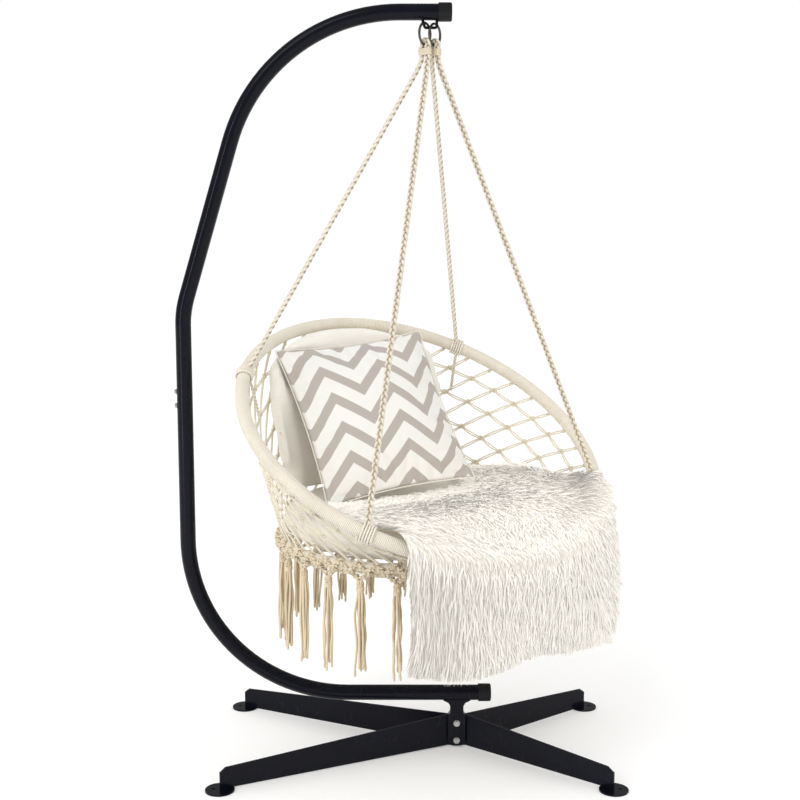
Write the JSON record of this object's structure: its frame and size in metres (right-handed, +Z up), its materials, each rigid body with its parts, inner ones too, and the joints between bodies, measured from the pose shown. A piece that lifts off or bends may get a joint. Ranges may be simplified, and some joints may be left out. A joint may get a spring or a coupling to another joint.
{
  "type": "hanging chair with stand",
  "caption": "Knotted cord bucket chair with cushions, hung by ropes and steel rings from a C-shaped tube stand on flat crossed legs.",
  "frame": {"origin": "on the floor, midway between the four anchor holes of the feet", "axes": "+Z up; the C-shaped tube lies in the plane Y = 0 with its post on the -X side and its opening towards +X; -Y is the side that the seat faces"},
  "size_m": [1.136, 0.9393, 1.902],
  "materials": {
    "black_steel": "satin black powder coat",
    "zinc_steel": "zinc plated",
    "black_plastic": "moulded plastic",
    "cotton_rope": "braided cotton rope",
    "cotton_cord": "knotted cotton cord",
    "cushion_cover": "plain woven cover",
    "pillow_cover": "woven cover with a zigzag stripe",
    "faux_fur": "long-pile faux fur"
  },
  "bodies": {
    "stand": {"upper_frame_tube": "black_steel", "lower_frame_tube": "black_steel", "coupling_spigot": "black_steel", "joint_bolts": "zinc_steel", "joint_washers": "zinc_steel", "joint_nuts": "zinc_steel", "top_end_cap": "black_plastic", "bottom_end_cap": "black_plastic", "hanging_loop": "black_steel", "hub_bracket": "black_steel", "front_leg_plate": "black_steel", "rear_leg_plate": "black_steel", "front_post_foot_plate": "black_steel", "rear_post_foot_plate": "black_steel", "front_open_foot_plate": "black_steel", "rear_open_foot_plate": "black_steel", "hub_bolts": "zinc_steel", "hub_washers": "zinc_steel", "hub_nuts": "zinc_steel"},
    "hanger": {"left_hanging_ring": "zinc_steel", "right_hanging_ring": "zinc_steel"},
    "chair": {"left_rope_eye": "cotton_rope", "right_rope_eye": "cotton_rope", "left_whipping": "cotton_rope", "right_whipping": "cotton_rope", "front_left_rope": "cotton_rope", "front_right_rope": "cotton_rope", "back_left_rope": "cotton_rope", "back_right_rope": "cotton_rope", "front_left_lashing": "cotton_rope", "front_right_lashing": "cotton_rope", "back_left_lashing": "cotton_rope", "back_right_lashing": "cotton_rope", "left_rope_tail": "cotton_rope", "right_rope_tail": "cotton_rope", "hoop_frame": "black_steel", "hoop_wrapping": "cotton_cord", "seat_ring_frame": "black_steel", "seat_ring_wrapping": "cotton_cord", "front_left_net": "cotton_cord", "left_front_net": "cotton_cord", "left_back_net": "cotton_cord", "back_left_net": "cotton_cord", "back_right_net": "cotton_cord", "right_back_net": "cotton_cord", "right_front_net": "cotton_cord", "front_right_net": "cotton_cord", "seat_net": "cotton_cord", "scalloped_border": "cotton_cord", "fringe_tassels": "cotton_cord", "seat_cushion": "cushion_cover", "back_cushion": "cushion_cover", "throw_pillow": "pillow_cover", "fur_throw": "faux_fur"}
  },
  "joints": [
    {"name": "hanger_swing", "type": "hinge", "parent": "stand", "child": "hanger", "pos_m": [0.032, 0, 1.8415], "axis": [1, 0, 0], "range_deg": [-9, 9]},
    {"name": "chair_swing", "type": "hinge", "parent": "hanger", "child": "chair", "pos_m": [0.032, 0, 1.80018], "axis": [-0.8039, -0.5948, 0], "range_deg": [-8, 16]}
  ]
}
